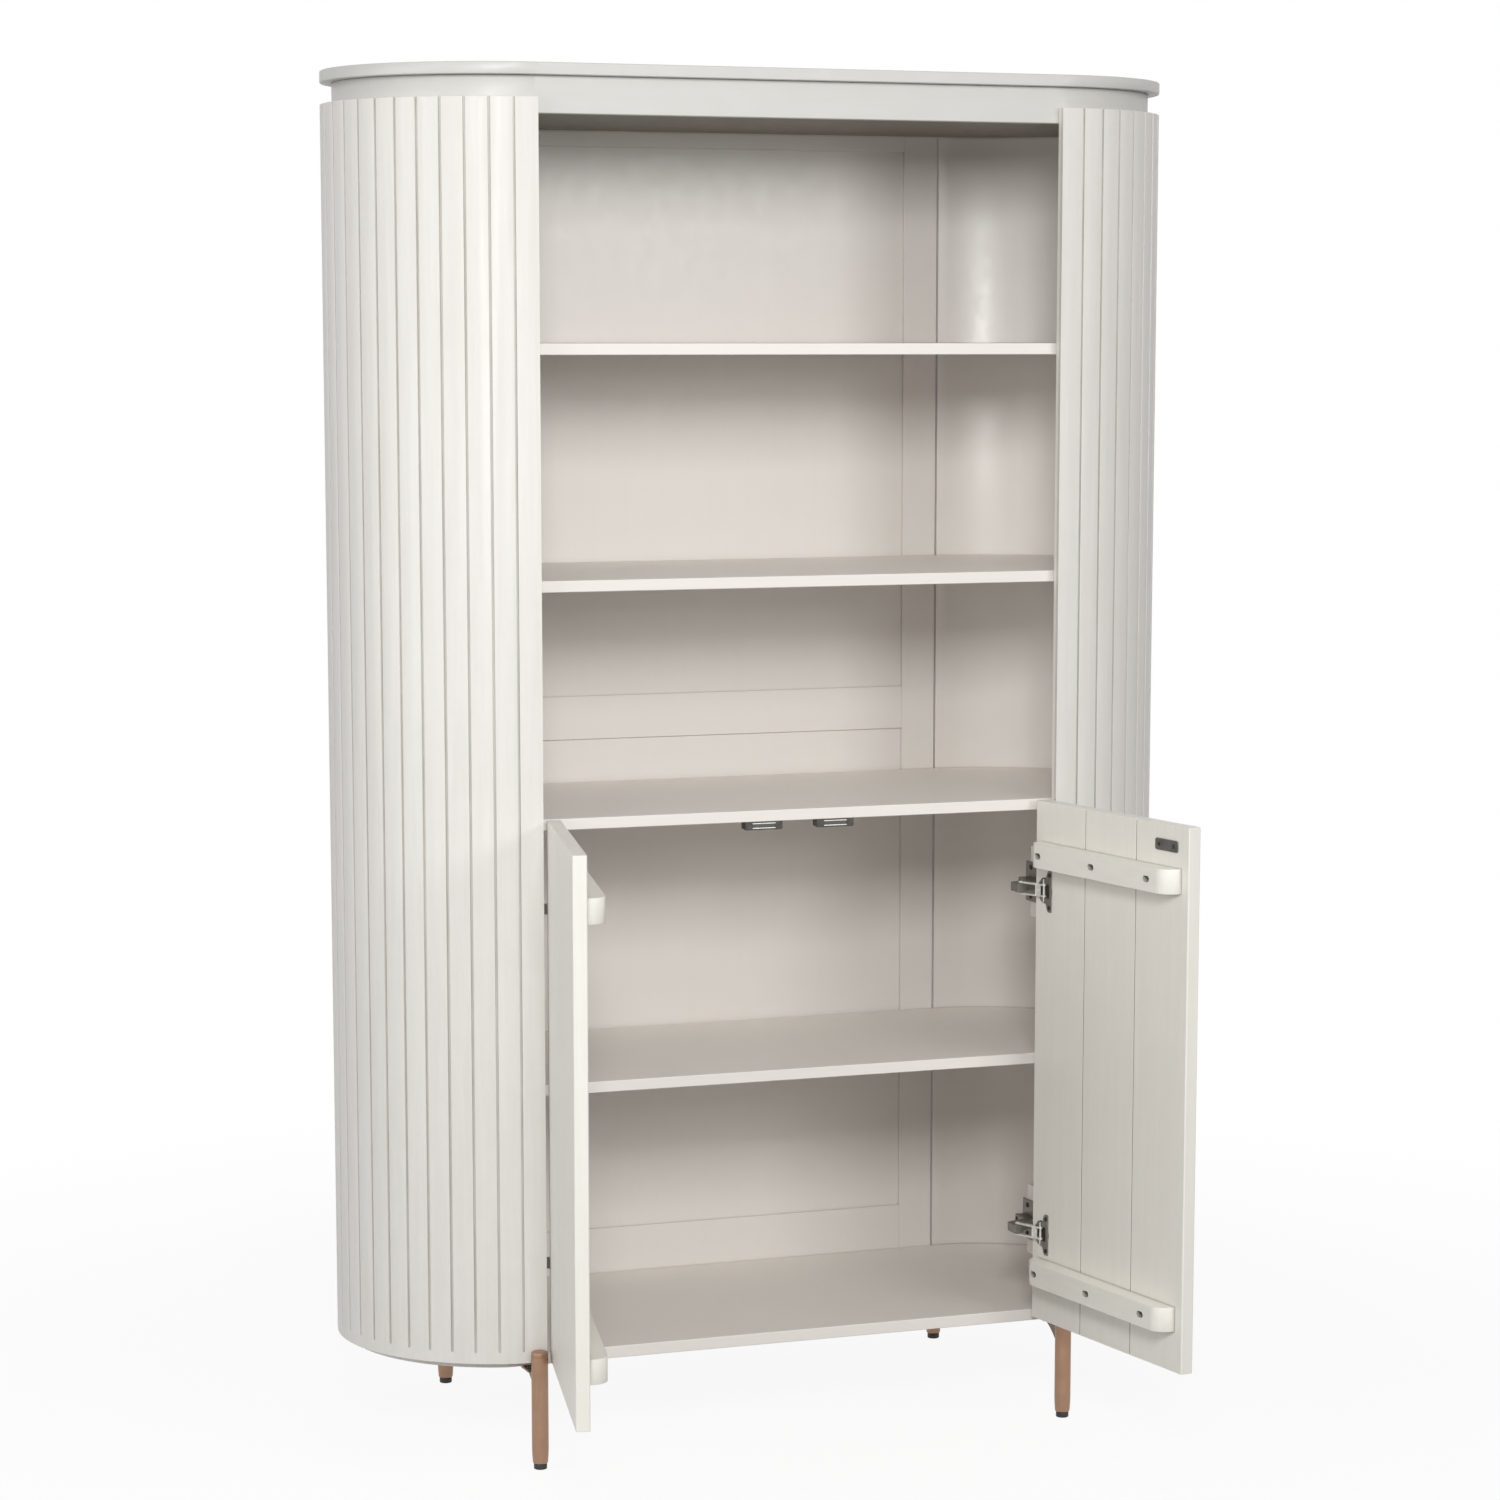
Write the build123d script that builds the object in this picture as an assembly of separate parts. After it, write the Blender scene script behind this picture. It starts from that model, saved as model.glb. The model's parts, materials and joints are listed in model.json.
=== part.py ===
from build123d import *
from math import atan2, cos, degrees, hypot, radians, sin, sqrt
import os

os.makedirs("parts", exist_ok=True)

# Tall storage cabinet with rounded, fluted ends: three open tiers above a cupboard.
# Millimetres, Z up. The origin lies on the floor, midway between the ends and
# midway between front and back. The front faces -Y. The doors stand open at rest.

# Carcass
total_height = 1800.0
opening_width = 716.0
end_radius = 219.0
top_board_thickness = 15.0
board_thickness = 15.0
bottom_board_thickness = 16.0
bottom_board_underside = 130.0
upper_shelf_top = 1453.0
middle_shelf_top = 1153.0
door_head_top = 847.5
cupboard_shelf_top = 497.5
shelf_setback = 21.0
cupboard_shelf_setback = 40.0
curved_fit = 0.3

# Rounded ends: a bent liner with a fluted skin glued round it
end_panel_bottom = 138.5
skin_thickness = 7.0
liner_thickness = 8.0
slats_per_end = 22
flute_width = 4.0
flute_depth = 3.5
flute_stop = 15.0

# Band under the top board, which is also the rail over the opening
band_height = 47.0
band_thickness = 18.0
end_panel_lap = 19.5

# Framed back
back_frame_thickness = 15.0
stile_width = 49.0
stile_gap = 3.0
back_top_rail_drop = 20.0
middle_rail_top = 967.0
middle_rail_height = 60.0
bottom_rail_height = 64.0
back_panel_thickness = 6.0
back_panel_inset = 4.0
panel_groove_depth = 8.0
panel_groove_play = 0.25
panel_end_play = 1.0

# Doors
door_thickness = 18.0
door_side_gap = 3.0
door_meeting_gap = 3.0
door_bottom_gap = 0.5
right_door_open_angle = 99.0
left_door_open_angle = 102.0
boards_per_door = 3
board_chamfer = 1.2
batten_height = 32.0
batten_thickness = 25.0
batten_end_margin = 15.5
batten_end_radius = 22.0
top_batten_drop = 70.0
bottom_batten_rise = 70.0
pocket_length = 14.0
pocket_width = 8.0
pocket_corner = 2.6
pocket_depth = 15.0
first_pocket = 41.0
pocket_spacing = 126.5
pockets_per_batten = 3

# Concealed hinges, two on each door
pivot_from_door_edge = 6.5
pivot_behind_face = 3.5
top_hinge_drop = 120.0
bottom_hinge_rise = 120.0
cup_radius = 17.5
cup_wall = 1.5
cup_depth = 11.5
cup_edge_distance = 5.0
cup_wing_height = 62.0
cup_wing_width = 24.0
cup_wing_thickness = 2.0
cup_fit = 0.1
cup_wing_corner = 8.0
link_pin_radius = 1.5
link_pin_from_pivot = 14.0
link_pin_above_mouth = 0.3
link_width = 5.6
link_thickness = 2.0
link_end_chamfer = 1.6
link_side_play = 0.6
link_pin_play = 0.05
arm_height = 12.0
arm_width = 13.0
arm_pin_inward = 30.0
arm_pin_behind = 21.0
arm_length = 62.0
arm_nose = 5.0
arm_crank = 6.0
plate_thickness = 3.0
plate_height = 54.0
plate_length = 34.0
plate_back_margin = 4.0
hinge_block_width = 34.0
hinge_block_height = 96.0
hinge_block_depth = 66.0

# Catches under the door head shelf
catch_width = 52.0
catch_height = 11.0
catch_depth = 16.0
catch_from_middle = 50.0
catch_setback = 1.0
catch_corner = 2.5
magnet_width = 30.0
magnet_height = 5.0
magnet_depth = 6.0
strike_width = 50.0
strike_height = 15.0
strike_thickness = 1.5
strike_corner = 3.5
strike_below_door_top = 27.0

# Legs, standing against the ends in front and behind
leg_radius = 11.0
leg_height = 157.0
leg_from_jamb = 14.0
foot_height = 8.0
foot_radius = 8.6
bracket_length = 86.0
bracket_drop = 38.0
bracket_hollow = 9.5
bracket_web = 4.0
bracket_plate_width = 26.0
bracket_plate_thickness = 3.0

# How far a cutter reaches past the face that it opens
cutter_overrun = 1.0

# Places that follow from the sizes above
jamb = opening_width / 2
front_face = -end_radius
liner_outer = end_radius - skin_thickness
inner_radius = liner_outer - liner_thickness
board_radius = inner_radius - curved_fit
band_outer = inner_radius - curved_fit
band_inner = band_outer - band_thickness
top_board_underside = total_height - top_board_thickness
opening_top = top_board_underside - band_height
end_panel_top = opening_top + end_panel_lap
shelf_front = front_face + shelf_setback
back_face = end_radius
back_inner_face = back_face - back_frame_thickness
bottom_board_top = bottom_board_underside + bottom_board_thickness
door_bottom = end_panel_bottom + door_bottom_gap
door_top = door_head_top
door_height = door_top - door_bottom
door_edge = jamb - door_side_gap
door_width = door_edge - door_meeting_gap / 2
door_inner_face = front_face + door_thickness
pivot_x = door_edge - pivot_from_door_edge
pivot_y = front_face + pivot_behind_face
cup_x = door_edge - cup_edge_distance - cup_radius
leg_x = jamb + leg_from_jamb
leg_y = front_face - curved_fit - leg_radius
hinge_heights = (door_top - top_hinge_drop, door_bottom + bottom_hinge_rise)
batten_heights = (door_top - top_batten_drop, door_bottom + bottom_batten_rise)


def save(name, *pieces):
    solids = [solid for piece in pieces for solid in piece.solids()]
    group = solids[0] if len(solids) == 1 else Compound(children=solids)
    group.label = name
    export_step(group, f"parts/{name}.step")
    print(name, len(solids))


def mirrored(pieces):
    return [mirror(piece, about=Plane.YZ) for piece in pieces]


def save_pair(name, *pieces):
    save("right_" + name, *pieces)
    save("left_" + name, *mirrored(pieces))


def block(x_range, y_range, z_range):
    size = [high - low for low, high in (x_range, y_range, z_range)]
    centre = [(high + low) / 2 for low, high in (x_range, y_range, z_range)]
    return Pos(*centre) * Box(*size)


def upright_rod(x, y, bottom, top, radius):
    return Pos(x, y, (bottom + top) / 2) * Cylinder(radius, top - bottom)


def rod_along_y(x, z, front, back, radius):
    return Pos(x, (front + back) / 2, z) * Rot(90, 0, 0) * Cylinder(radius, back - front)


def stadium(radius):
    return SlotCenterToCenter(opening_width, 2 * radius)


def rounded_board(radius, bottom, thickness, front=None):
    board = Pos(0, 0, bottom) * extrude(stadium(radius), thickness)
    if front is not None:
        reach = jamb + radius
        z_range = (bottom - cutter_overrun, bottom + thickness + cutter_overrun)
        board -= block((-reach, reach), (-radius - cutter_overrun, front), z_range)
    return board


def end_shell(outer, thickness, bottom, top):
    height = top - bottom
    ring = extrude(stadium(outer) - stadium(outer - thickness), height)
    shell = Pos(0, 0, bottom) * ring
    past = outer + cutter_overrun
    z_range = (bottom - cutter_overrun, top + cutter_overrun)
    return shell - block((-jamb - past, jamb), (-past, past), z_range)


# Carcass boards
def carcass_boards():
    save("top_board", rounded_board(end_radius, top_board_underside, top_board_thickness))
    ring = extrude(stadium(band_outer) - stadium(band_inner), band_height)
    save("band_under_top", Pos(0, 0, opening_top) * ring)
    ceiling = rounded_board(band_inner - curved_fit, opening_top, board_thickness)
    save("ceiling_board", ceiling)
    for name, top in (("upper_shelf", upper_shelf_top), ("middle_shelf", middle_shelf_top)):
        save(name, rounded_board(board_radius, top - board_thickness, board_thickness, shelf_front))
    head = rounded_board(board_radius, door_head_top - board_thickness, board_thickness, shelf_front)
    save("door_head_shelf", head)
    cupboard_front = front_face + cupboard_shelf_setback
    shelf_bottom = cupboard_shelf_top - board_thickness
    save("cupboard_shelf", rounded_board(board_radius, shelf_bottom, board_thickness, cupboard_front))
    bottom = rounded_board(board_radius, bottom_board_underside, bottom_board_thickness, shelf_front)
    save("bottom_board", bottom)


# Rounded ends
def flute(angle):
    bottom = end_panel_bottom + flute_stop
    outside = -end_radius - cutter_overrun
    inside = -end_radius + flute_depth
    side = Polyline(
        (inside, end_panel_top),
        (outside, end_panel_top),
        (outside, bottom),
        (-end_radius, bottom),
        (inside, bottom + flute_depth),
        close=True,
    )
    cutter = extrude(Plane.YZ * make_face(side), flute_width / 2, both=True)
    return Pos(jamb, 0) * Rot(0, 0, angle) * cutter


def rounded_ends():
    save_pair("end_liner", end_shell(liner_outer, liner_thickness, end_panel_bottom, end_panel_top))
    skin = end_shell(end_radius, skin_thickness, end_panel_bottom, end_panel_top)
    pitch = 180.0 / slats_per_end
    for number in range(1, slats_per_end):
        skin -= flute(number * pitch)
    save_pair("fluted_end_skin", skin)


# Framed back
def framed_back():
    outer_edge = jamb - stile_gap
    inner_edge = outer_edge - stile_width
    across = (-inner_edge, inner_edge)
    depth = (back_inner_face, back_face)
    top_rail_bottom = opening_top - back_top_rail_drop
    middle_rail_bottom = middle_rail_top - middle_rail_height
    bottom_rail_top = bottom_board_top + bottom_rail_height
    panel_front = back_inner_face + back_panel_inset
    panel_depth = (panel_front, panel_front + back_panel_thickness)
    groove_depth = (panel_depth[0] - panel_groove_play, panel_depth[1] + panel_groove_play)
    reach = panel_groove_depth - panel_end_play
    panel_width = (-inner_edge - reach, inner_edge + reach)
    groove_width = (-inner_edge - panel_groove_depth, inner_edge + panel_groove_depth)
    bays = {
        "upper_back_panel": (middle_rail_top, top_rail_bottom),
        "lower_back_panel": (bottom_rail_top, middle_rail_bottom),
    }
    grooves = []
    for name, (low, high) in bays.items():
        save(name, block(panel_width, panel_depth, (low - reach, high + reach)))
        tall = (low - panel_groove_depth, high + panel_groove_depth)
        grooves.append(block(groove_width, groove_depth, tall))
    stile = block((inner_edge, outer_edge), depth, (end_panel_bottom, end_panel_top))
    save_pair("back_stile", stile - grooves)
    rails = {
        "back_top_rail": (top_rail_bottom, end_panel_top),
        "back_middle_rail": (middle_rail_bottom, middle_rail_top),
        "back_bottom_rail": (end_panel_bottom, bottom_rail_top),
    }
    for name, height in rails.items():
        save(name, block(across, depth, height) - grooves)


# Doors, made shut on the right and then swung open, each by its own angle
def swung(pieces, angle):
    turn = Pos(pivot_x, pivot_y) * Rot(0, 0, angle) * Pos(-pivot_x, -pivot_y)
    return [turn * piece for piece in pieces]


def save_door_pair(name, *pieces):
    save("right_" + name, *swung(pieces, right_door_open_angle))
    save("left_" + name, *mirrored(swung(pieces, left_door_open_angle)))


def door_boards():
    width = door_width / boards_per_door
    board = Box(width, door_thickness, door_height)
    board = chamfer(board.edges().filter_by(Axis.Z), board_chamfer)
    middle = (door_bottom + door_top) / 2
    boards = []
    for number in range(boards_per_door):
        x = door_edge - width * (number + 0.5)
        boards.append(Pos(x, front_face + door_thickness / 2, middle) * board)
    for height in hinge_heights:
        cup_hole = (door_inner_face - cup_depth, door_inner_face + cutter_overrun)
        boards[0] -= rod_along_y(cup_x, height, *cup_hole, cup_radius)
    return boards


def pocket_places():
    return [door_edge - first_pocket - pocket_spacing * number for number in range(pockets_per_batten)]


def batten(height):
    x_range = (door_edge - door_width + batten_end_margin, door_edge - batten_end_margin)
    back = door_inner_face + batten_thickness
    z_range = (height - batten_height / 2, height + batten_height / 2)
    bar = block(x_range, (door_inner_face, back), z_range)
    ends = bar.edges().filter_by(Axis.Z).sort_by(Axis.Y)[-2:]
    bar = fillet(ends, batten_end_radius)
    opening = chamfer(Rectangle(pocket_length, pocket_width).vertices(), pocket_corner)
    for x in pocket_places():
        pocket = extrude(Plane.XZ * opening, pocket_depth)
        bar -= Pos(x, back, height) * pocket
    return bar


def strike_plate():
    plate = Box(strike_width, strike_thickness, strike_height)
    plate = fillet(plate.edges().filter_by(Axis.Y), strike_corner)
    z = door_top - strike_below_door_top
    return Pos(catch_from_middle, door_inner_face + strike_thickness / 2, z) * plate


def doors():
    save_door_pair("door_boards", *door_boards())
    for name, height in zip(("top_batten", "bottom_batten"), batten_heights):
        save_door_pair("door_" + name, batten(height))
    save_door_pair("strike_plate", strike_plate())


# Concealed hinges
link_pin_y = door_inner_face + link_pin_above_mouth
arm_pin = (pivot_x - arm_pin_inward, pivot_y + arm_pin_behind)
link_lift = arm_height / 2 + link_side_play


def open_link_pin(angle):
    turn = radians(angle)
    along = -link_pin_from_pivot
    behind = link_pin_y - pivot_y
    x = pivot_x + along * cos(turn) - behind * sin(turn)
    y = pivot_y + along * sin(turn) + behind * cos(turn)
    return x, y


def hinge_cup(height):
    mouth = door_inner_face
    bottom = mouth - cup_depth + cup_fit
    wings = Box(cup_wing_width, cup_wing_thickness, cup_wing_height)
    wings = chamfer(wings.edges().filter_by(Axis.Y), cup_wing_corner)
    cup = Pos(cup_x, mouth + cup_wing_thickness / 2, height) * wings
    cup += rod_along_y(cup_x, height, bottom, mouth, cup_radius - cup_fit)
    open_to = mouth + cup_wing_thickness + cutter_overrun
    cup -= rod_along_y(cup_x, height, bottom + cup_wall, open_to, cup_radius - cup_fit - cup_wall)
    z_range = (height - link_reach(), height + link_reach())
    return cup - block((cup_x, door_edge), (mouth, open_to), z_range)


def link_reach():
    return link_lift + link_thickness + link_side_play


def link_pin(height):
    x = pivot_x - link_pin_from_pivot
    aside = abs(x - cup_x) + link_pin_radius
    half = sqrt((cup_radius - cup_fit - cup_wall) ** 2 - aside ** 2)
    return upright_rod(x, link_pin_y, height - half, height + half, link_pin_radius)


def hinge_link(height, angle):
    pin = open_link_pin(angle)
    run = (arm_pin[0] - pin[0], arm_pin[1] - pin[1])
    length = hypot(*run)
    cheek = Box(length + link_width, link_width, link_thickness)
    cheek = chamfer(cheek.edges().filter_by(Axis.Z), link_end_chamfer)
    cheek -= Pos(-length / 2, 0) * Cylinder(link_pin_radius + link_pin_play, link_thickness)
    middle = ((arm_pin[0] + pin[0]) / 2, (arm_pin[1] + pin[1]) / 2)
    turn = Rot(0, 0, degrees(atan2(run[1], run[0])))
    lift = link_lift + link_thickness / 2
    above = Pos(*middle, height + lift) * turn * cheek
    below = Pos(*middle, height - lift) * turn * cheek
    return [above, below]


def hinge_arm(height):
    x, y = arm_pin
    reach = jamb - plate_thickness - x
    outline = Polyline(
        (-arm_width / 2, -arm_nose),
        (arm_width / 2, -arm_nose),
        (arm_width / 2, arm_crank),
        (reach, arm_crank + arm_width),
        (reach, arm_length),
        (reach - arm_width, arm_length),
        (reach - arm_width, arm_crank + 2 * arm_width),
        (-arm_width / 2, arm_crank + arm_width),
        close=True,
    )
    arm = extrude(make_face(outline), arm_height)
    arm = Pos(x, y, height - arm_height / 2) * arm
    return arm


def mounting_plate(height):
    back = arm_pin[1] + arm_length + plate_back_margin
    y_range = (back - plate_length, back)
    x_range = (jamb - plate_thickness, jamb)
    return block(x_range, y_range, (height - plate_height / 2, height + plate_height / 2))


def hinge_block(height):
    half = hinge_block_height / 2
    inside = Pos(0, 0, height - half) * extrude(stadium(inner_radius - curved_fit), hinge_block_height)
    corner = block(
        (jamb, jamb + hinge_block_width),
        (front_face, -inner_radius + hinge_block_depth),
        (height - half, height + half),
    )
    return inside & corner


def hinge_links(angle):
    return [cheek for height in hinge_heights for cheek in hinge_link(height, angle)]


def hinges():
    save_door_pair("hinge_cups", *[hinge_cup(height) for height in hinge_heights])
    save_door_pair("hinge_link_pins", *[link_pin(height) for height in hinge_heights])
    save("right_hinge_links", *hinge_links(right_door_open_angle))
    save("left_hinge_links", *mirrored(hinge_links(left_door_open_angle)))
    save_pair("hinge_arms", *[hinge_arm(height) for height in hinge_heights])
    save_pair("hinge_plates", *[mounting_plate(height) for height in hinge_heights])
    save_pair("hinge_blocks", *[hinge_block(height) for height in hinge_heights])


# Catches under the door head shelf
def catches():
    top = door_head_top - board_thickness
    front = shelf_front + catch_setback
    half = catch_width / 2
    x_range = (catch_from_middle - half, catch_from_middle + half)
    housing = block(x_range, (front, front + catch_depth), (top - catch_height, top))
    housing = fillet(housing.edges().filter_by(Axis.Y).sort_by(Axis.Z)[:2], catch_corner)
    middle = top - catch_height / 2
    magnet = block(
        (catch_from_middle - magnet_width / 2, catch_from_middle + magnet_width / 2),
        (front, front + magnet_depth),
        (middle - magnet_height / 2, middle + magnet_height / 2),
    )
    save_pair("catch_housing", housing - magnet)
    save_pair("catch_magnet", magnet)


# Legs
def leg():
    return upright_rod(0, 0, foot_height, leg_height, leg_radius)


def foot():
    return upright_rod(0, 0, 0, foot_height, foot_radius)


def bracket():
    top = bottom_board_underside
    start = leg_radius
    low = top - bracket_plate_thickness
    hollow = SagittaArc((bracket_length, low), (start, top - bracket_drop), -bracket_hollow)
    outline = Polyline((start, top), (bracket_length, top), (bracket_length, low)) + hollow
    outline += Line((start, top - bracket_drop), (start, top))
    rib = extrude(Plane.YZ * make_face(outline), bracket_web / 2, both=True)
    half = bracket_plate_width / 2
    return rib + block((-half, half), (start, bracket_length), (low, top))


def legs():
    front = Pos(leg_x, leg_y)
    back = Pos(leg_x, -leg_y) * Rot(0, 0, 180)
    for name, place in (("front", front), ("back", back)):
        save_pair(f"{name}_leg", place * leg())
        save_pair(f"{name}_leg_bracket", place * bracket())
    caps = [place * foot() for place in (front, back)]
    save("foot_caps", *caps, *mirrored(caps))


carcass_boards()
rounded_ends()
framed_back()
doors()
hinges()
catches()
legs()
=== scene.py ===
import json
import math
import bpy
import bmesh
from mathutils import Matrix, Vector


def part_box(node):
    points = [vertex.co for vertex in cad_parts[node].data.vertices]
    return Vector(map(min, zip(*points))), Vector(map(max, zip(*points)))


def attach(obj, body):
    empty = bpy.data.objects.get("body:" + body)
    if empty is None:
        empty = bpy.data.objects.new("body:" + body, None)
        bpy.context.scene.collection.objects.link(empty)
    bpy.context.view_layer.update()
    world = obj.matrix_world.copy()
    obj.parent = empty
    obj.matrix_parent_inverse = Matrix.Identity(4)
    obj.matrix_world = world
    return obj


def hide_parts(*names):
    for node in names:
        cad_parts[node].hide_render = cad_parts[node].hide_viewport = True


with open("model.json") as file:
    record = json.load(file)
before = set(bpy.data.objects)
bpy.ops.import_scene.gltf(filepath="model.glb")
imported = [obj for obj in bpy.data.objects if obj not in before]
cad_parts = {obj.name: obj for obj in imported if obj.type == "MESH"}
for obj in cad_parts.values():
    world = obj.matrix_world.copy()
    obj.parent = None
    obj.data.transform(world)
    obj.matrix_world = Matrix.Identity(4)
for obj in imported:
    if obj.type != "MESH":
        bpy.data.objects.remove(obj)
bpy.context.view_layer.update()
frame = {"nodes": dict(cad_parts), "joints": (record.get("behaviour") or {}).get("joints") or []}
nodes = frame["nodes"]
print("frame loaded with", len(nodes), "nodes")


class Wire:
    # one value in a shader tree, so that the maths reads as plain expressions
    def __init__(self, paint, socket):
        self.paint = paint
        self.socket = socket

    def calc(self, operation, *values):
        return self.paint.node("ShaderNodeMath", dict(enumerate(values)), operation=operation)

    def __add__(self, other): return self.calc("ADD", self, other)
    def __radd__(self, other): return self.calc("ADD", other, self)
    def __sub__(self, other): return self.calc("SUBTRACT", self, other)
    def __rsub__(self, other): return self.calc("SUBTRACT", other, self)
    def __mul__(self, other): return self.calc("MULTIPLY", self, other)
    def __rmul__(self, other): return self.calc("MULTIPLY", other, self)
    def __truediv__(self, other): return self.calc("DIVIDE", self, other)
    def __pow__(self, other): return self.calc("POWER", self, other)
    def absolute(self): return self.calc("ABSOLUTE", self)
    def floor(self): return self.calc("FLOOR", self)
    def either(self, other): return self.calc("MAXIMUM", self, other)

    def ramp(self, low, high, start=0.0, end=1.0):
        # smooth step from start at low to end at high
        values = {"Value": self, "From Min": low, "From Max": high, "To Min": start, "To Max": end}
        return self.paint.node("ShaderNodeMapRange", values, interpolation_type="SMOOTHSTEP")


class Tree:
    # the nodes of a material or of the world
    def __init__(self, tree):
        self.tree = tree

    def node(self, kind, values, out=0, **settings):
        made = self.tree.nodes.new(kind)
        for name, setting in settings.items():
            setattr(made, name, setting)
        for name, value in values.items():
            self.feed(made.inputs[name], value)
        return Wire(self, made.outputs[out])

    def feed(self, socket, value):
        if isinstance(value, Wire):
            self.tree.links.new(value.socket, socket)
        else:
            socket.default_value = value

    def seen(self):
        # 1 for rays from the camera, and for those that a mirror or glass sends on
        kinds = ("Is Camera Ray", "Is Glossy Ray", "Is Transmission Ray")
        camera, glossy, through = [self.node("ShaderNodeLightPath", {}, out=kind) for kind in kinds]
        return camera.either(glossy).either(through)

    def either(self, share, first, second):
        return self.node("ShaderNodeMixShader", {"Fac": share, 1: first, 2: second})


class Paint(Tree):
    # one material and the nodes that feed its shader
    def __init__(self, name):
        self.material = bpy.data.materials.new(name)
        self.material.use_nodes = True
        super().__init__(self.material.node_tree)
        self.shader = self.tree.nodes["Principled BSDF"]

    def finish(self, **values):
        for name, value in values.items():
            self.feed(self.shader.inputs[name.replace("_", " ")], value)
        return self.material

    def place(self):
        return self.node("ShaderNodeTexCoord", {}, out="Object")

    def axes(self, place):
        return [self.node("ShaderNodeSeparateXYZ", {"Vector": place}, out=axis) for axis in "XYZ"]

    def stretched(self, place, scale):
        return self.node("ShaderNodeMapping", {"Vector": place, "Scale": scale})

    def noise(self, place, scale, detail=4.0, roughness=0.55, distortion=0.0):
        values = {"Vector": place, "Scale": scale, "Detail": detail,
                  "Roughness": roughness, "Distortion": distortion}
        return self.node("ShaderNodeTexNoise", values, out="Fac")

    def blend(self, share, first, second):
        values = {"Factor": share, 6: first, 7: second}
        return self.node("ShaderNodeMix", values, out=2, data_type="RGBA")

    def bump(self, height, distance):
        return self.node("ShaderNodeBump", {"Height": height, "Distance": distance, "Strength": 1.0}, out="Normal")

    def edges(self, radius):
        # bright where a convex edge passes within the radius
        rounded = self.node("ShaderNodeBevel", {"Radius": radius}, samples=4)
        flat = self.node("ShaderNodeNewGeometry", {}, out="Normal")
        turned = self.node("ShaderNodeVectorMath", {0: rounded, 1: flat}, out="Value", operation="DOT_PRODUCT")
        return (1 - turned).ramp(0.02, 0.3)

    def creases(self, reach):
        # a mask for painted shade: high in grooves and corners narrower than the reach, where shade falls
        openness = self.node("ShaderNodeAmbientOcclusion", {"Distance": reach}, out="AO", samples=4)
        return openness.ramp(.3, .85, 1, 0)


def rgb(red, green, blue):
    return (red, green, blue, 1.0)


# Painted wood. Each look has a crease colour, painted into its creases and corners as shade, with some dust
paintLooks = {
    "outer": {"colour": rgb(.80, .785, .75), "shade": rgb(.66, .64, .595), "edge": rgb(.86, .85, .82),
              "grain": "z", "depth": .00020, "streak": .36, "roughness": .46, "coat": .10,
              "shadeAndDust": rgb(.42, .39, .34), "crease": .0015, "shadeAndDustShare": .35},
    "board": {"colour": rgb(.63, .625, .60), "shade": rgb(.56, .55, .52), "edge": rgb(.72, .71, .69),
              "grain": "x", "depth": .00008, "streak": .25, "roughness": .42, "coat": .12,
              "shadeAndDust": rgb(.36, .33, .28), "crease": .003, "shadeAndDustShare": .5},
    "shelf": {"colour": rgb(.87, .835, .79), "shade": rgb(.80, .76, .71), "edge": rgb(.88, .86, .82),
              "grain": "x", "depth": .00006, "streak": .2, "roughness": .42, "coat": .12,
              "shadeAndDust": rgb(.36, .32, .27), "crease": .003, "shadeAndDustShare": .5},
    "inner": {"colour": rgb(.81, .775, .735), "shade": rgb(.745, .71, .665), "edge": rgb(.84, .83, .81),
              "grain": "z", "depth": .00005, "streak": .16, "roughness": .36, "coat": .22,
              "shadeAndDust": rgb(.30, .27, .23), "crease": .003, "shadeAndDustShare": .6},
    # door: its dark crease colour paints shade into the board joints and under the battens
    "door": {"colour": rgb(.885, .86, .80), "shade": rgb(.735, .71, .65), "edge": rgb(.88, .87, .82),
             "grain": "z", "depth": .00010, "streak": .25, "roughness": .44, "coat": .10,
             "shadeAndDust": rgb(.26, .235, .19), "crease": .0024, "shadeAndDustShare": .85},
    # ceiling: a dark brown copy of the inner paint, standing in as painted shade for the underside of the ceiling
    # board
    "ceiling": {"colour": rgb(.15, .125, .09), "shade": rgb(.11, .09, .065), "edge": rgb(.24, .21, .16),
                "grain": "x", "depth": .00010, "streak": .4, "roughness": .5, "coat": .05,
                "shadeAndDust": rgb(.20, .17, .13), "crease": .006, "shadeAndDustShare": .6},
    # batten: its near-black crease colour, reaching far, paints the shade inside the screw pockets and along the
    # batten's edges
    "batten": {"colour": rgb(.91, .885, .82), "shade": rgb(.76, .735, .67), "edge": rgb(.90, .89, .85),
               "grain": "y", "depth": .00010, "streak": .25, "roughness": .44, "coat": .10,
               "shadeAndDust": rgb(.075, .065, .052), "crease": .011, "shadeAndDustShare": .92},
}


# Sizes of the pattern in the paint, as noise scales per metre, and the width of a worn edge
woodPattern = {"grain": 620.0, "streaks": 95.0, "cloud": 3.2, "mottle": 38.0, "dabs": 260.0, "wornEdge": .0022,
               "alongGrain": .05}


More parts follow.
